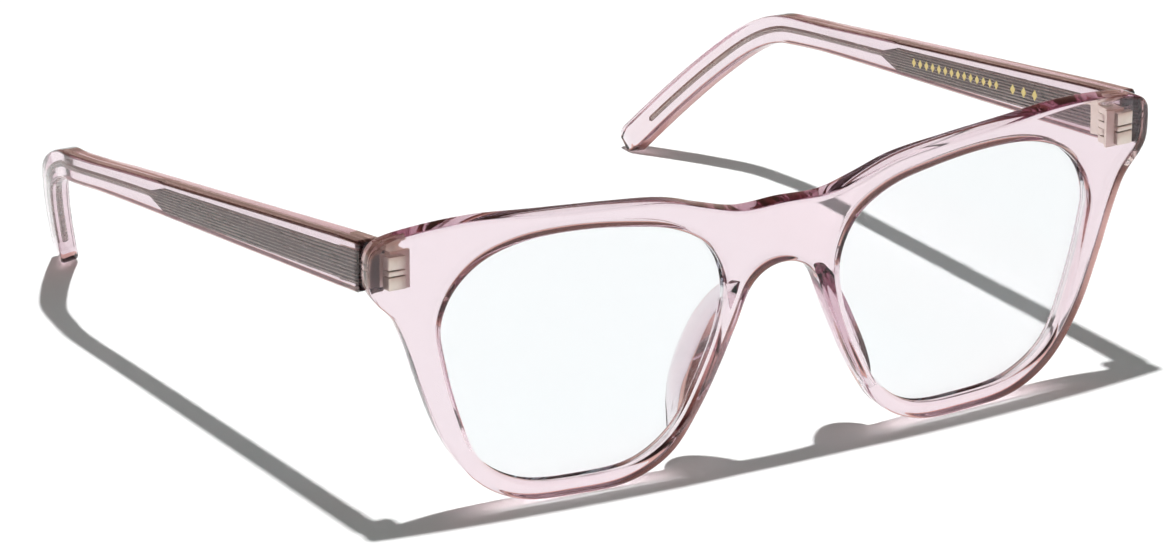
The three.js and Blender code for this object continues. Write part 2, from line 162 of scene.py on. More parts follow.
# Sections of a nose pad, from its top to its foot: height, near edge, width and how far it stands back.
NOSE_PAD = [
    [3.5, 6.6, 1.8, 1.2], [1.2, 7.3, 3.0, 3.0], [-2.5, 8.9, 3.6, 4.6], [-7, 10.9, 3.8, 5.0],
    [-11, 12.9, 3.6, 4.2], [-14.5, 14.8, 2.9, 2.4], [-16.8, 16.2, 1.9, 1.0], [-18.6, 17.6, 0.7, 0.1],
]
PAD_SECTION_STEPS = 7
PAD_PROFILE_STEPS = 5
# The pad's cross-section, as shares of its width and height, and in millimetres where it is below 0.
PAD_PROFILE = [
    [0, -0.4], [0.02, 0.1], [0.12, 0.45], [0.35, 0.85], [0.62, 1], [0.9, 0.88], [1.06, 0.6], [1.08, 0.2],
    [1.02, -0.4],
]


# ---------------------------------------------------------------- curves
def catmull_rom(points, per_segment, closed):
    """Points on a centripetal Catmull-Rom curve through the given ones."""
    p = np.array(points, float)
    count = len(p)
    if closed:
        ends = [(p[(i - 1) % count], p[i], p[(i + 1) % count], p[(i + 2) % count]) for i in range(count)]
    else:
        q = np.vstack([2 * p[0] - p[1], p, 2 * p[-1] - p[-2]])
        ends = [tuple(q[i:i + 4]) for i in range(count - 1)]
    t = (np.arange(per_segment) / per_segment)[:, None]
    pieces = []
    for a, b, c, d in ends:
        gaps = [max(np.linalg.norm(y - x), 1e-9) for x, y in ((a, b), (b, c), (c, d))]
        before, within, after = [gap ** 0.5 for gap in gaps]
        start = ((b - a) / before - (c - a) / (before + within) + (c - b) / within) * within
        stop = ((c - b) / within - (d - b) / (within + after) + (d - c) / after) * within
        square = 3 * (c - b) - 2 * start - stop
        cube = 2 * (b - c) + start + stop
        pieces.append(b + start * t + square * t ** 2 + cube * t ** 3)
    if not closed:
        pieces.append(p[-1:])
    return np.vstack(pieces)


def distances(line):
    """How far each point of a line is from its start, along it."""
    return np.concatenate([[0], np.cumsum(np.linalg.norm(np.diff(line, axis=0), axis=1))])


def evenly(points, count, closed):
    """The same line with its points an even distance apart."""
    line = np.vstack([points, points[:1]]) if closed else points
    reach = distances(line)
    places = np.linspace(0, reach[-1], count + 1 if closed else count)
    spots = np.stack([np.interp(places, reach, line[:, k]) for k in range(line.shape[1])], axis=1)
    return spots[:-1] if closed else spots


def fair(points, rounds):
    """Takes the small unevenness out of a closed line."""
    for _ in range(rounds):
        points = 0.25 * np.roll(points, 1, axis=0) + 0.5 * points + 0.25 * np.roll(points, -1, axis=0)
    return points


def counter_clockwise(points):
    """The same loop, turned round if it runs clockwise."""
    x, y = points[:, 0], points[:, 1]
    area = np.sum(x * np.roll(y, -1) - y * np.roll(x, -1))
    return points if area > 0 else points[::-1].copy()


def offset(points, distance):
    """A counter-clockwise loop moved outwards, square to itself."""
    along = np.roll(points, -1, axis=0) - np.roll(points, 1, axis=0)
    along /= np.linalg.norm(along, axis=1)[:, None]
    return points + distance * np.stack([along[:, 1], -along[:, 0]], axis=1)


def smooth_loop(corners, count):
    """A smooth loop through the points of a drawing, with its own points evenly spaced."""
    line = evenly(catmull_rom(corners, CURVE_STEPS, True), count, True)
    return counter_clockwise(fair(line, FAIRING_ROUNDS))


def outline():
    """The outline of the whole front."""
    other = [[-u, v] for u, v in OUTLINE_HALF][::-1]
    return smooth_loop([BRIDGE_TOP, *OUTLINE_HALF, ARCH_TOP, *other], OUTLINE_POINTS)


def opening():
    """The edge of the left lens opening."""
    return smooth_loop(OPENING, OPENING_POINTS)


def bend(points):
    """From the front's flat drawing to the frame, in metres."""
    u, v, w = np.asarray(points, float).T
    radius = FACE_FORM_RADIUS - w
    y = FACE_FORM_RADIUS - radius * np.cos(u / FACE_FORM_RADIUS)
    x = radius * np.sin(u / FACE_FORM_RADIUS)
    back = y * math.cos(FRONT_TILT) - v * math.sin(FRONT_TILT) - HALF_DEPTH
    up = y * math.sin(FRONT_TILT) + v * math.cos(FRONT_TILT) + LENS_ROW_HEIGHT
    return np.stack([x, back, up], axis=1) * MM


# ---------------------------------------------------------------- meshes
def make(name, points, faces, sharp_angle=32):
    """A new piece from points in metres and faces, shaded smooth."""
    mesh = bpy.data.meshes.new(name)
    mesh.from_pydata([tuple(p) for p in points], [], [tuple(int(i) for i in f) for f in faces])
    mesh.validate()
    piece = bpy.data.objects.new(name, mesh)
    bpy.context.scene.collection.objects.link(piece)
    shade(piece, sharp_angle)
    return piece


def shade(piece, sharp_angle):
    """Smooth shading, with edges sharper than this angle in degrees left sharp."""
    piece.data.polygons.foreach_set("use_smooth", [True] * len(piece.data.polygons))
    piece.data.set_sharp_from_angle(angle=math.radians(sharp_angle))


def mirror(piece, name):
    """A copy of a piece on the other side of the glasses."""
    copy = piece.copy()
    copy.data = piece.data.copy()
    copy.name = name
    copy.data.transform(Matrix.Scale(-1, 4, Vector((1, 0, 0))))
    copy.data.flip_normals()
    bpy.context.scene.collection.objects.link(copy)
    return copy


def strip(first, second):
    """Faces between two closed rings of point numbers."""
    count = len(first)
    return [
        (first[k], first[(k + 1) % count], second[(k + 1) % count], second[k])
        for k in range(count)
    ]


def loft(rings):
    """Points and faces of a closed skin over rings of equal length, with a fan over each end."""
    count = len(rings[0])
    points = np.vstack(rings)
    numbers = [list(range(r * count, (r + 1) * count)) for r in range(len(rings))]
    faces = [f for a, b in zip(numbers, numbers[1:]) for f in strip(a, b)]
    faces.append(tuple(numbers[0][::-1]))
    faces.append(tuple(numbers[-1]))
    return points, faces


def boolean(piece, other, operation):
    """Joins or cuts with another mesh, which is then deleted."""
    modifier = piece.modifiers.new("join", "BOOLEAN")
    modifier.operation = operation
    modifier.solver = "EXACT"
    modifier.object = other
    graph = bpy.context.evaluated_depsgraph_get()
    result = bpy.data.meshes.new_from_object(piece.evaluated_get(graph))
    piece.modifiers.clear()
    piece.data = result
    bpy.data.objects.remove(other)


def bevelled(piece, width):
    """Rounds a piece's edges by a width in millimetres, and keeps the result as its mesh."""
    modifier = piece.modifiers.new("round", "BEVEL")
    modifier.width = width * MM
    modifier.segments = 3
    modifier.limit_method = "ANGLE"
    modifier.angle_limit = math.radians(40)
    graph = bpy.context.evaluated_depsgraph_get()
    piece.data = bpy.data.meshes.new_from_object(piece.evaluated_get(graph))
    piece.modifiers.clear()
    shade(piece, 40)
    return piece


# ---------------------------------------------------------------- the acetate front
def inside(points, loop):
    """Which points lie inside a loop, by counting the edges crossed on the way out."""
    x, y = points[:, 0][:, None], points[:, 1][:, None]
    x0, y0 = loop[:, 0][None], loop[:, 1][None]
    x1, y1 = np.roll(loop[:, 0], -1)[None], np.roll(loop[:, 1], -1)[None]
    crosses = (y0 > y) != (y1 > y)
    slope = (x1 - x0) / np.where(y1 == y0, 1e-12, y1 - y0)
    return np.sum(crosses & (x < x0 + slope * (y - y0)), axis=1) % 2 == 1


def distance_to(points, loop):
    """How far each point is from the nearest point of a loop."""
    return np.linalg.norm(points[:, None] - loop[None], axis=2).min(axis=1)


def face_triangles(outer, holes):
    """Points and triangles of the flat face between loops, with extra points so that it can bend."""
    low, high = outer.min(axis=0), outer.max(axis=0)
    rows = [np.arange(low[k], high[k], FACE_GRID) for k in (0, 1)]
    grid = np.stack(np.meshgrid(*rows), axis=-1).reshape(-1, 2)
    margin = 0.6 * FACE_GRID
    keep = inside(grid, outer) & (distance_to(grid, outer) > margin)
    for hole in holes:
        keep &= ~inside(grid, hole) & (distance_to(grid, hole) > margin)
    loops = [outer, *holes]
    points = np.vstack([*loops, grid[keep]])
    edges, first = [], 0
    for loop in loops:
        edges += [(first + k, first + (k + 1) % len(loop)) for k in range(len(loop))]
        first += len(loop)
    found = delaunay_2d_cdt([Vector(p) for p in points], edges, [], 0, 1e-7, True)
    sources = [numbers[-1] for numbers in found[3]]
    triangles = np.array([[sources[i] for i in face] for face in found[2]])
    centres = points[triangles].mean(axis=1)
    keep = inside(centres, outer)
    for hole in holes:
        keep &= ~inside(centres, hole)
    triangles = triangles[keep]
    a, b, c = points[triangles[:, 0]], points[triangles[:, 1]], points[triangles[:, 2]]
    turn = (b[:, 0] - a[:, 0]) * (c[:, 1] - a[:, 1]) - (b[:, 1] - a[:, 1]) * (c[:, 0] - a[:, 0])
    triangles[turn < 0] = triangles[turn < 0][:, ::-1]
    return points, triangles


def quarter(radius, segments):
    """A quarter round as (how far in from the edge, how far down from the face)."""
    angles = [math.pi / 2 * k / segments for k in range(segments + 1)]
    return [(radius * (1 - math.sin(a)), radius * (1 - math.cos(a))) for a in angles]


def wall_section(rounding, groove):
    """The edge of the plate from its front face to its back face: (in from the edge, depth)."""
    front = [(rounding + SUPPORT, 0)] + quarter(rounding, 6)
    back = [(d, FRONT_THICKNESS - w) for d, w in front[::-1]]
    middle = []
    if groove:
        half = GROOVE_MOUTH / 2
        centre = FRONT_THICKNESS / 2
        middle = [(0, centre - half), (GROOVE_DEPTH, centre), (0, centre + half)]
    return front + middle + back


def front_body():
    """The whole front as one closed skin: two faces and the walls round its outline and openings."""
    left = opening()
    right = counter_clockwise(left * [-1, 1])
    rim = [(outline(), -1, wall_section(EDGE_ROUNDING, False))]
    rim += [(loop, 1, wall_section(RIM_ROUNDING, True)) for loop in (left, right)]
    face_loops = [offset(loop, side * section[0][0]) for loop, side, section in rim]
    face, triangles = face_triangles(face_loops[0], face_loops[1:])
    count = len(face)
    points = [np.column_stack([face, np.full(count, w)]) for w in (0, FRONT_THICKNESS)]
    faces = [tuple(t[::-1]) for t in triangles] + [tuple(t + count) for t in triangles]
    used, first = 2 * count, 0
    for loop, side, section in rim:
        size = len(loop)
        rings = [list(range(first, first + size))]
        for into, w in section[1:-1]:
            points.append(np.column_stack([offset(loop, side * into), np.full(size, w)]))
            rings.append(list(range(used, used + size)))
            used += size
        rings.append(list(range(first + count, first + count + size)))
        walls = [face for a, b in zip(rings, rings[1:]) for face in strip(a, b)]
        faces += walls if side < 0 else [face[::-1] for face in walls]
        first += size
    return np.vstack(points), faces


def nose_pad(side):
    """One pad as a ridge that leans away from the nose, with its foot inside the front."""
    sections = catmull_rom(NOSE_PAD, PAD_SECTION_STEPS, False)
    profile = catmull_rom(PAD_PROFILE, PAD_PROFILE_STEPS, False)
    rings = []
    for v, u, width, height in sections:
        back = np.where(profile[:, 1] > 0, profile[:, 1] * height, profile[:, 1])
        across = side * (u + profile[:, 0] * width)
        ring = np.column_stack([across, np.full(len(profile), v), FRONT_THICKNESS + back])
        rings.append(ring if side < 0 else ring[::-1])
    points, faces = loft(rings)
    return make(f"pad_{side}", bend(points), faces)


def acetate_front():
    """The front with both pads, as one skin, bent to the face and leaning."""
    points, faces = front_body()
    front = make("acetate_front", bend(points), faces)
    for side in (1, -1):
        boolean(front, nose_pad(side), "UNION")
    shade(front, 30)
    return front


# ---------------------------------------------------------------- lenses
def lens(name):
    """A curved lens with a V edge that reaches into the groove."""
    rim = offset(opening(), -FIT_GAP)
    face = (FRONT_THICKNESS - LENS_THICKNESS) / 2
    # Two closer rings by the edge keep the faces' shading even.
    shares = np.concatenate([np.linspace(0.02, 0.97, LENS_RINGS), [0.985, 1]])

    def ring(loop, share, w):
        spots = LENS_CENTRE + share * (loop - LENS_CENTRE)
        return np.column_stack([spots, np.full(len(loop), w - LENS_CROWN * (1 - share ** 2))])

    edge = ring(offset(opening(), LENS_RIM_DEPTH), 1, FRONT_THICKNESS / 2)
    rings = [ring(rim, s, face) for s in shares] + [edge]
    rings += [ring(rim, s, face + LENS_THICKNESS) for s in shares[::-1]]
    points, faces = loft([r[::-1] for r in rings])
    return make(name, bend(points), faces, 25)


# ---------------------------------------------------------------- temples
def share_along(y, low, high):
    """0 before low, 1 past high and evenly between them."""
    return np.clip((y - low) / (high - low), 0, 1)


def temple_size(y, sizes):
    """The temple's height or thickness at a distance behind the front's face."""
    near = sizes["hinge"] + (sizes["waist"] - sizes["hinge"]) * share_along(y, TEMPLE_FRONT_Y, WAIST_Y)
    far = sizes["waist"] + (sizes["tip"] - sizes["waist"]) * share_along(y, WAIST_Y, TIP[1])
    return np.where(y < WAIST_Y, near, far)


def temple_line(count):
    """The temple's middle line from its front end, over the bend and down to the tip."""
    straight = []
    for share in (0, 0.25, 0.5, 0.75, 0.93):
        y = TEMPLE_FRONT_Y + (BEND_Y - TEMPLE_FRONT_Y) * share
        top = TEMPLE_TOP_Z - TEMPLE_FALL * (y - TEMPLE_FRONT_Y)
        x = TEMPLE_OUTER_X - temple_size(y, TEMPLE_THICKNESS) / 2
        straight.append([float(x), y, float(top - temple_size(y, TEMPLE_HEIGHT) / 2)])
    line = catmull_rom([*straight, *BEND_POINTS, TIP], TEMPLE_CURVE_STEPS, False)
    for _ in range(TEMPLE_FAIRING_ROUNDS):
        line[1:-1] = 0.25 * line[:-2] + 0.5 * line[1:-1] + 0.25 * line[2:]
    return evenly(line, count, False)


def directions(line):
    """At each point of a line: across it, away from the head, and square to that and the line."""
    along = np.gradient(line, axis=0)
    along /= np.linalg.norm(along, axis=1)[:, None]
    across = np.array([1.0, 0, 0]) - along * along[:, :1]
    across /= np.linalg.norm(across, axis=1)[:, None]
    return across, np.cross(across, along)


def rounded_oblong(width, height, radius):
    """Points round an oblong with round corners, anticlockwise as (across, up)."""
    radius = min(radius, 0.49 * min(width, height))
    per_corner = 8
    points = []
    for quadrant, (sx, sy) in enumerate([(1, 1), (-1, 1), (-1, -1), (1, -1)]):
        cx, cy = sx * (width / 2 - radius), sy * (height / 2 - radius)
        for k in range(per_corner + 1):
            angle = math.pi / 2 * (quadrant + k / per_corner)
            points.append([cx + radius * math.cos(angle), cy + radius * math.sin(angle)])
    return np.array(points)


def temple(name):
    """The acetate temple: parallel to the back of the front at one end, and round at its tip."""
    line = temple_line(TEMPLE_SECTIONS)
    across, up = directions(line)
    reach = distances(line)
    rings = []
    for i in range(TEMPLE_SECTIONS - 1):
        y = line[i, 1]
        height = float(temple_size(y, TEMPLE_HEIGHT))
        width = float(temple_size(y, TEMPLE_THICKNESS))
        from_tip = (reach[-1] - reach[i]) / (height / 2)
        dome = math.sqrt(max(0.0, 1 - max(0.0, 1 - from_tip) ** 2))
        short_of_round = max(0.0, END_ROUNDING - reach[i])
        tuck = END_ROUNDING - math.sqrt(max(0.0, END_ROUNDING ** 2 - short_of_round ** 2))
        width = width * (TIP_WIDTH_SHARE + (1 - TIP_WIDTH_SHARE) * dome) - 2 * tuck
        height = height * max(dome, TIP_HEIGHT_SHARE) - 2 * tuck
        section = rounded_oblong(width, height, TEMPLE_CORNER)
        ring = line[i] + section[:, :1] * across[i] + section[:, 1:] * up[i]
        square = 1 - share_along(reach[i], 0, SQUARE_LENGTH)
        flat_y = y - (ring[:, 2] - HINGE_BOTTOM_Z) * math.tan(FRONT_TILT)
        ring[:, 1] = square * flat_y + (1 - square) * ring[:, 1]
        ring[:, 2] = np.maximum(ring[:, 2], 0)
        rings.append(ring)
    middle = rings[0].mean(axis=0)
    cap = middle + (rings[0] - middle) * END_CAP_SHARE
    points, faces = loft([r[::-1] for r in [cap, *rings]])
    points[:, 1] -= HALF_DEPTH
    return make(name, points * MM, faces, 40)


def core_plate_size(place):
    """The plate's full height and middle, without its point, at a distance from the temple's front end."""
    share = min(1, (place - CORE_PLATE["start"]) / (CORE_PLATE["end"] - CORE_PLATE["start"]))
    height = CORE_PLATE["hinge_height"] + (CORE_PLATE["end_height"] - CORE_PLATE["hinge_height"]) * share
    temple_height = float(temple_size(TEMPLE_FRONT_Y + place, TEMPLE_HEIGHT))
    return height, TEMPLE_TOP_Z - TEMPLE_FALL * place - temple_height / 2 - CORE_DROP


def rib_share(level):
    """0 in the grooves and 1 on the ribs, at a level from -0.5 to 0.5 of the plate's height."""
    return 0.5 - 0.5 * np.cos(2 * math.pi * CORE_RIBS * (level + 0.5))


def core_plate_rings():
    """The wide ribbed plate as sections along the temple, down to its arrow point."""
    places = np.concatenate([np.arange(CORE_PLATE["start"], CORE_PLATE["end"], PLATE_STEP),
                             np.linspace(CORE_PLATE["end"], CORE_PLATE["point"], POINT_SECTIONS)])
    x = TEMPLE_OUTER_X - CORE_DEPTH
    levels = np.linspace(-1, 1, RIB_LEVELS)
    rings = []
    for place in places:
        whole, middle = core_plate_size(place)
        taper = max(0.0, (place - CORE_PLATE["end"]) / (CORE_PLATE["point"] - CORE_PLATE["end"]))
        height = whole + (2 * WIRE_RADIUS * POINT_SHARE - whole) * taper
        h = levels * height / 2
        rib = RIB_HEIGHT * rib_share(h / whole)
        edge = np.clip((1 - np.abs(levels)) * height / 2 / PLATE_EDGE, 0, 1)
        thinning = PLATE_EDGE_SHARE + (1 - PLATE_EDGE_SHARE) * np.sqrt(edge)
        half = (CORE_THICKNESS / 2 - RIB_HEIGHT + rib) * thinning
        y = np.full(len(h), TEMPLE_FRONT_Y + place)
        z = middle + CORE_DROP * taper + h
        outer = np.column_stack([x + half, y, z])
        inner = np.column_stack([x - half, y, z])[::-1]
        rings.append(np.vstack([outer, inner]))
    return rings


def core_wire_rings():
    """The thin wire, from inside the plate's point to near the temple's tip."""
    line = temple_line(WIRE_SECTIONS)
    across, up = directions(line)
    reach = distances(line)
    start = CORE_PLATE["point"] - WIRE_OVERLAP
    keep = np.where((reach > start) & (reach < reach[-1] - WIRE_STOP_SHORT))[0]
    turns = np.linspace(0, 2 * math.pi, WIRE_SIDES, endpoint=False)
    plate_x = TEMPLE_OUTER_X - CORE_DEPTH
    rings = []
    for i in keep:
        blend = share_along(reach[i], start, CORE_PLATE["point"] + WIRE_SHIFT)
        centre = line[i].copy()
        centre[0] = plate_x + (centre[0] - plate_x) * (blend * blend * (3 - 2 * blend))
        from_end = (reach[keep[-1]] - reach[i]) / WIRE_RADIUS
        radius = WIRE_RADIUS * math.sqrt(max(0.04, 1 - max(0.0, 1 - from_end) ** 2))
        around = np.cos(turns)[:, None] * across[i] + np.sin(turns)[:, None] * up[i]
        rings.append(centre + radius * around)
    return rings


def mark_crests(core_piece):
    """Stores how high on a rib each point of the core is, as the mask for the shade painted into its
    grooves.
    """
    crests = core_piece.data.attributes.new("crest", "FLOAT", "POINT")
    for corner in core_piece.data.vertices:
        place = corner.co.y / MM + HALF_DEPTH - TEMPLE_FRONT_Y
        height, middle = core_plate_size(place)
        level = (corner.co.z / MM - middle) / height
        on_plate = place < CORE_PLATE["point"] - 1
        crests.data[corner.index].value = rib_share(level) if on_plate else WIRE_CREST


def core(name):
    """The temple's metal core: the ribbed plate, and the thin wire from its point."""
    parts = []
    for label, rings, sharp_angle in ((name, core_plate_rings(), 60), ("wire", core_wire_rings(), 32)):
        points, faces = loft([r[::-1] for r in rings])
        points[:, 1] -= HALF_DEPTH
        parts.append(make(label, points * MM, faces, sharp_angle))
    plate, wire = parts
    boolean(plate, wire, "UNION")
    shade(plate, 50)
    mark_crests(plate)
    return plate


# ---------------------------------------------------------------- foil
def foil(name):
    """A row of thin gold lozenges, stamped on the inner face of the left temple over its core."""
    points, faces = [], []
    for place, wide, tall in SMALL_MARKS + LARGE_MARKS:
        y = TEMPLE_FRONT_Y + place
        x = TEMPLE_OUTER_X - float(temple_size(y, TEMPLE_THICKNESS)) - FOIL_LIFT
        middle = core_plate_size(place)[1] + FOIL_RISE
        for dx in (0, FOIL_LIFT):
            for dy, dz in ((-wide / 2, 0), (0, -tall / 2), (wide / 2, 0), (0, tall / 2)):
                points.append([x + dx, y + dy - HALF_DEPTH, middle + dz - TEMPLE_FALL * dy])
        near = list(range(len(points) - 8, len(points) - 4))
        far = list(range(len(points) - 4, len(points)))
        faces += [tuple(near[::-1]), tuple(far), *strip(near, far)]
    return make(name, np.array(points) * MM, faces)


# ---------------------------------------------------------------- hinges
def box_piece(low, high, name="box"):
    """A box between two corners in millimetres, with y measured from the middle of the front."""
    corners = np.array([[x, y, z] for x in (low[0], high[0]) for y in (low[1], high[1])
                        for z in (low[2], high[2])])
    corners[:, 1] -= HALF_DEPTH
    faces = [(0, 1, 3, 2), (4, 6, 7, 5), (0, 4, 5, 1), (2, 3, 7, 6), (0, 2, 6, 4), (1, 5, 7, 3)]
    return make(name, corners * MM, faces)


def upright_cylinder(radius, bottom, top, name="cylinder"):
    """A cylinder on the hinge's axis."""
    turns = np.linspace(0, 2 * math.pi, CYLINDER_SIDES, endpoint=False)
    x = HINGE_X + radius * np.cos(turns)
    y = HINGE_Y - HALF_DEPTH + radius * np.sin(turns)
    points, faces = loft([np.column_stack([x, y, np.full(len(turns), z)]) for z in (bottom, top)])
    return make(name, points * MM, faces)


def hinge_top():
    """The height of the top of the barrels."""
    return HINGE_BOTTOM_Z + BARREL_COUNT * BARREL_HEIGHT


def end_piece_back():
    """How far the back of the end piece is behind the middle of the front, at the foot of the hinge."""
    radius = FACE_FORM_RADIUS - FRONT_THICKNESS
    y = FACE_FORM_RADIUS - radius * math.cos(HINGE_X / FACE_FORM_RADIUS)
    return y * math.cos(FRONT_TILT) - (HINGE_BOTTOM_Z - LENS_ROW_HEIGHT) * math.sin(FRONT_TILT)


def knuckle(i, neck_low, neck_high):
    """One barrel, counted from the bottom, and the neck that ties it to its plate."""
    bottom = HINGE_BOTTOM_Z + i * BARREL_HEIGHT + BARREL_GAP
    top = bottom + BARREL_HEIGHT - 2 * BARREL_GAP
    barrel = upright_cylinder(BARREL_RADIUS, bottom, top)
    boolean(barrel, box_piece([*neck_low, bottom], [*neck_high, top]), "UNION")
    return barrel


def bored(hinge):
    """A hinge with the screw's bore cut through its barrels, and its edges rounded."""
    boolean(hinge, upright_cylinder(HINGE_BORE, HINGE_BOTTOM_Z - 1, hinge_top() + 1), "DIFFERENCE")
    return bevelled(hinge, HINGE_ROUNDING)


def front_hinge(name):
    """A plate sunk in the end piece, with feet in front of it and a knuckle at each even place."""
    back = end_piece_back()
    outer = HINGE_X + BARREL_RADIUS
    foot_outer = outer + FOOT_OUTWARD - (PLATE_WIDTH - FOOT_WIDTH) / 2
    low = [outer - PLATE_WIDTH, back - PLATE_SINK, HINGE_BOTTOM_Z]
    hinge = box_piece(low, [outer, back + PLATE_PROUD, hinge_top()], name)
    for bottom, top in FEET:
        low = [foot_outer - FOOT_WIDTH, back - FOOT_SINK, HINGE_BOTTOM_Z + bottom]
        high = [foot_outer, back - FOOT_COVER, HINGE_BOTTOM_Z + top]
        boolean(hinge, box_piece(low, high), "UNION")
    for i in (0, 2, 4):
        neck_low = [HINGE_X - BARREL_RADIUS, back - NECK_SINK["front"]]
        boolean(hinge, knuckle(i, neck_low, [outer, HINGE_Y]), "UNION")
    return bored(hinge)


def temple_hinge(name):
    """A leaf in the temple's inner face with a knuckle at each odd place."""
    inner = TEMPLE_OUTER_X - TEMPLE_THICKNESS["hinge"]
    start = TEMPLE_FRONT_Y + LEAF_SETBACK
    low = [inner - LEAF_PROUD, start, HINGE_BOTTOM_Z + LEAF_TRIM["below"]]
    high = [inner + LEAF_THICKNESS, start + LEAF_LENGTH, hinge_top() - LEAF_TRIM["above"]]
    hinge = box_piece(low, high, name)
    for corner in hinge.data.vertices:
        corner.co.z -= TEMPLE_FALL * (corner.co.y - (start - HALF_DEPTH) * MM)
    for i in (1, 3):
        neck_low = [HINGE_X, HINGE_Y - 0.6 * BARREL_RADIUS]
        neck_high = [inner + NECK_SINK["temple"], HINGE_Y + BARREL_RADIUS]
        boolean(hinge, knuckle(i, neck_low, neck_high), "UNION")
    return bored(hinge)


def hinge_screw(name):
    """The screw that pins the barrels together, with a slotted head."""
    head = hinge_top() + SCREW_HEAD["lift"]
    screw = upright_cylinder(SCREW_RADIUS, HINGE_BOTTOM_Z, head + 0.1, name)
    boolean(screw, upright_cylinder(SCREW_HEAD["radius"], head, head + SCREW_HEAD["height"]), "UNION")
    half = SCREW_SLOT["half_width"]
    slot_low = [HINGE_X - 2, HINGE_Y - half, head + SCREW_SLOT["above_base"]]
    boolean(screw, box_piece(slot_low, [HINGE_X + 2, HINGE_Y + half, head + 1]), "DIFFERENCE")
    return bevelled(screw, SCREW_ROUNDING)


# ---------------------------------------------------------------- materials
def new_material(name):
    """A material with its nodes and links."""
    material = bpy.data.materials.new(name)
    material.use_nodes = True
    return material, material.node_tree.nodes, material.node_tree.links


def noise(nodes, links, scale, detail, stretch=(1, 1, 1)):
    """A noise texture that keeps its place on the object."""
    place = nodes.new("ShaderNodeTexCoord")
    mapping = nodes.new("ShaderNodeMapping")
    mapping.inputs["Scale"].default_value = stretch
    links.new(place.outputs["Object"], mapping.inputs["Vector"])
    texture = nodes.new("ShaderNodeTexNoise")
    texture.inputs["Scale"].default_value = scale
    texture.inputs["Detail"].default_value = detail
    links.new(mapping.outputs["Vector"], texture.inputs["Vector"])
    return texture


def ranged(nodes, links, source, low, high):
    """Spreads a noise over a range of values."""
    span = nodes.new("ShaderNodeMapRange")
    span.inputs["From Min"].default_value = 0.3
    span.inputs["From Max"].default_value = 0.7
    span.inputs["To Min"].default_value = low
    span.inputs["To Max"].default_value = high
    links.new(source, span.inputs["Value"])
    return span.outputs["Result"]


def bump(nodes, links, source, strength, distance):
    """Turns a noise into fine relief."""
    node = nodes.new("ShaderNodeBump")
    node.inputs["Strength"].default_value = strength
    node.inputs["Distance"].default_value = distance
    links.new(source, node.inputs["Height"])
    return node.outputs["Normal"]


def acetate_material():
    """Clear pink acetate: the colour is all in its depth, so thick paths are darker and redder."""
    material, nodes, links = new_material("acetate")
    shader = nodes["Principled BSDF"]
    shader.inputs["Base Color"].default_value = (1, 1, 1, 1)
    shader.inputs["Transmission Weight"].default_value = 1.0
    shader.inputs["IOR"].default_value = 1.48
    shader.inputs["Roughness"].default_value = 0.0
    ripple = noise(nodes, links, 90, 2.0)
    links.new(bump(nodes, links, ripple.outputs["Fac"], 0.02, 0.0004), shader.inputs["Normal"])
    absorb = nodes.new("ShaderNodeVolumeAbsorption")
    absorb.inputs["Color"].default_value = (0.56, 0.23, 0.36, 1)
    absorb.inputs["Density"].default_value = 120
    links.new(absorb.outputs["Volume"], nodes["Material Output"].inputs["Volume"])
    return material


def lens_material():
    """Thin clear resin with a very faint cool cast."""
    material, nodes, links = new_material("lens")
    shader = nodes["Principled BSDF"]
    shader.inputs["Base Color"].default_value = (0.885, 0.888, 0.897, 1)
    shader.inputs["Transmission Weight"].default_value = 1.0
    shader.inputs["IOR"].default_value = 1.4
    shader.inputs["Roughness"].default_value = 0.0
    film = noise(nodes, links, 25, 1.0)
    links.new(bump(nodes, links, film.outputs["Fac"], 0.01, 0.0002), shader.inputs["Normal"])
    absorb = nodes.new("ShaderNodeVolumeAbsorption")
    absorb.inputs["Color"].default_value = (0.62, 0.66, 0.70, 1)
    absorb.inputs["Density"].default_value = 60
    links.new(absorb.outputs["Volume"], nodes["Material Output"].inputs["Volume"])
    return material


def mix(nodes, colour):
    """A mix node with its first colour set."""
    node = nodes.new("ShaderNodeMix")
    node.data_type = "RGBA"
    node.inputs["A"].default_value = (*colour, 1)
    return node


def metal_material(name, colour, rough, stretch, grain):
    """Bare metal, with a fine grain in its colour, gloss and surface."""
    material, nodes, links = new_material(name)
    shader = nodes["Principled BSDF"]
    shader.inputs["Metallic"].default_value = 1.0
    texture = noise(nodes, links, grain, 4.0, stretch)
    gloss = ranged(nodes, links, texture.outputs["Fac"], rough * 0.8, rough * 1.3)
    links.new(gloss, shader.inputs["Roughness"])
    tint = mix(nodes, [c * 0.82 for c in colour])
    tint.inputs["B"].default_value = (*colour, 1)
    links.new(texture.outputs["Fac"], tint.inputs["Factor"])
    links.new(tint.outputs["Result"], shader.inputs["Base Color"])
    links.new(bump(nodes, links, texture.outputs["Fac"], 0.15, 0.00005), shader.inputs["Normal"])
    return material


def paint_groove_shade(material, colour):
    """Paints shade into the grooves between the metal's ribs, as a darker colour there."""
    nodes, links = material.node_tree.nodes, material.node_tree.links
    surface = nodes["Principled BSDF"].inputs["Base Color"]
    crest = nodes.new("ShaderNodeAttribute")
    crest.attribute_name = "crest"
    tint = mix(nodes, colour)
    links.new(crest.outputs["Fac"], tint.inputs["Factor"])
    links.new(surface.links[0].from_socket, tint.inputs["B"])
    links.new(tint.outputs["Result"], surface)


def floor_material():
    """Matt white."""
    material, nodes, _ = new_material("floor")
    shader = nodes["Principled BSDF"]
    shader.inputs["Base Color"].default_value = (0.9, 0.9, 0.9, 1)
    shader.inputs["Roughness"].default_value = 0.9
    shader.inputs["Specular IOR Level"].default_value = 0.0
    return material


# ---------------------------------------------------------------- build
def add(piece, body, material, slot, *nodes):
    """Gives a finished piece its material and the body it rides on, and hides the CAD nodes that it stands
    for.
    """
    piece.data.materials.clear()
    piece.data.materials.append(material)
    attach(piece, body)
    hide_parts(*nodes)


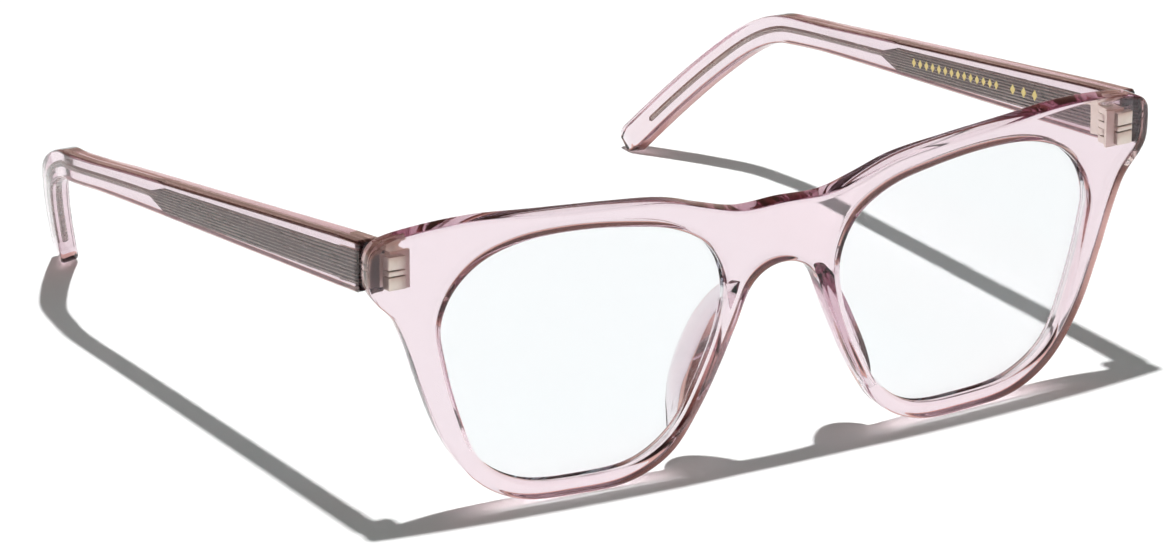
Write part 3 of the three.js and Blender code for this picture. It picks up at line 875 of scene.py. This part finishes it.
acetate, glass = acetate_material(), lens_material()
core_metal = metal_material("core_metal", (0.72, 0.67, 0.61), 0.25, (1, 0.05, 1), 900)
# Painted shade: the grooves between the core's ribs get this dark colour.
paint_groove_shade(core_metal, (0.10, 0.085, 0.075))
hinge_metal = metal_material("hinge_metal", (0.95, 0.90, 0.78), 0.35, (1, 1, 1), 700)
gold = metal_material("gold_foil", (0.70, 0.56, 0.24), 0.3, (1, 1, 1), 500)
screw_metal = metal_material("screw_metal", (0.75, 0.73, 0.70), 0.25, (1, 1, 1), 700)

add(acetate_front(), "front", acetate, "acetate", "front_frame", "nose_pad_left", "nose_pad_right")

BUILDERS = [
    # shape, body, material, record slot, name of the piece, CAD node it stands for
    (lens, "front", glass, "lens", "lens_fine", "lens"),
    (temple, "temple", acetate, "acetate", "acetate_temple", "temple"),
    (core, "temple", core_metal, "core_metal", "ribbed_core", "core_wire"),
    (front_hinge, "front", hinge_metal, "hinge_metal", "front_knuckles", "front_hinge"),
    (temple_hinge, "temple", hinge_metal, "hinge_metal", "temple_knuckles", "temple_hinge"),
    (hinge_screw, "front", screw_metal, "screw_metal", "slotted_screw", "hinge_screw"),
]
for shape, body, material, slot, name, node in BUILDERS:
    left = shape(f"{name}_left")
    right = mirror(left, f"{name}_right")
    for side, piece in (("left", left), ("right", right)):
        add(piece, f"{side}_temple" if body == "temple" else body, material, slot, f"{node}_{side}")
        # A clear lens would cast a solid shadow here, and a real one lets the light through.
        piece.visible_shadow = shape is not lens
add(foil("foil_motif_left"), "left_temple", gold, "hinge_metal")


# ---------------------------------------------------------------- camera, in millimetres
AZIMUTH = math.radians(-29.88)
ELEVATION = math.radians(19.79)
ROLL = math.radians(-0.47)
DISTANCE = 1160.9
AIM_RIGHT = 30.39             # the camera looks past the front's middle by this much, in its own view
AIM_UP = -27.70
FOCAL_LENGTH = 234.4


def camera_at():
    """The camera's place and turn, from its angles, its distance and where it aims."""
    ahead = -Vector((math.sin(AZIMUTH) * math.cos(ELEVATION), -math.cos(AZIMUTH) * math.cos(ELEVATION),
                     math.sin(ELEVATION)))
    right = Vector((math.cos(AZIMUTH), math.sin(AZIMUTH), 0))
    up = right.cross(ahead)
    right, up = (right * math.cos(ROLL) + up * math.sin(ROLL), up * math.cos(ROLL) - right * math.sin(ROLL))
    place = -AIM_RIGHT * right - AIM_UP * up - DISTANCE * ahead - Vector((0, HALF_DEPTH, 0))
    turn = Matrix((right, up, -ahead)).transposed().to_4x4()
    return Matrix.Translation(place * MM) @ turn


camera = bpy.data.objects.new("camera", bpy.data.cameras.new("camera"))
camera.data.lens = FOCAL_LENGTH
camera.data.sensor_width = 36
camera.data.clip_start = 0.01
camera.matrix_world = camera_at()
bpy.context.scene.collection.objects.link(camera)
bpy.context.scene.camera = camera

# ---------------------------------------------------------------- floor and light
floor = make("floor", [(-4, -4, 0), (4, -4, 0), (4, 4, 0), (-4, 4, 0)], [(0, 1, 2, 3)])
floor.data.materials.append(floor_material())


def area_light(name, place, size, power, colour=(1, 1, 1), reflected=True):
    """A lamp aimed at the middle of the floor. One that isn't reflected only lights what is matt."""
    data = bpy.data.lights.new(name, "AREA")
    data.shape = "RECTANGLE"
    data.size, data.size_y = size
    data.energy = power
    data.color = colour
    lamp = bpy.data.objects.new(name, data)
    lamp.visible_glossy = lamp.visible_transmission = reflected
    lamp.location = place
    lamp.rotation_euler = (-Vector(place)).to_track_quat("-Z", "Y").to_euler()
    bpy.context.scene.collection.objects.link(lamp)


area_light("key", (0, 0.005, 1.52), (0.045, 0.045), 23.5)
area_light("fill", (0, 0, 2.4), (3, 3), 13, (0.04, 0.86, 0.96), reflected=False)

# The world is warm and bright at the horizon, and dark overhead.
world = bpy.data.worlds.new("studio")
world.use_nodes = True
world_nodes, world_links = world.node_tree.nodes, world.node_tree.links
sky = world_nodes.new("ShaderNodeTexCoord")
height = world_nodes.new("ShaderNodeSeparateXYZ")
ramp = world_nodes.new("ShaderNodeValToRGB")
ramp.color_ramp.elements[0].color = (0.92, 0.64, 0.55, 1)
ramp.color_ramp.elements[1].color = (0.11, 0.052, 0.042, 1)
ramp.color_ramp.elements.new(0.35).color = (0.25, 0.11, 0.082, 1)
world_links.new(sky.outputs["Generated"], height.inputs["Vector"])
world_links.new(height.outputs["Z"], ramp.inputs["Fac"])
world_links.new(ramp.outputs["Color"], world_nodes["Background"].inputs["Color"])
bpy.context.scene.world = world
bpy.context.scene.view_settings.view_transform = "Standard"
# Light runs a long way inside clear acetate before it comes out again.
bpy.context.scene.cycles.max_bounces = 24
bpy.context.scene.cycles.glossy_bounces = 16
bpy.context.scene.cycles.transmission_bounces = 24
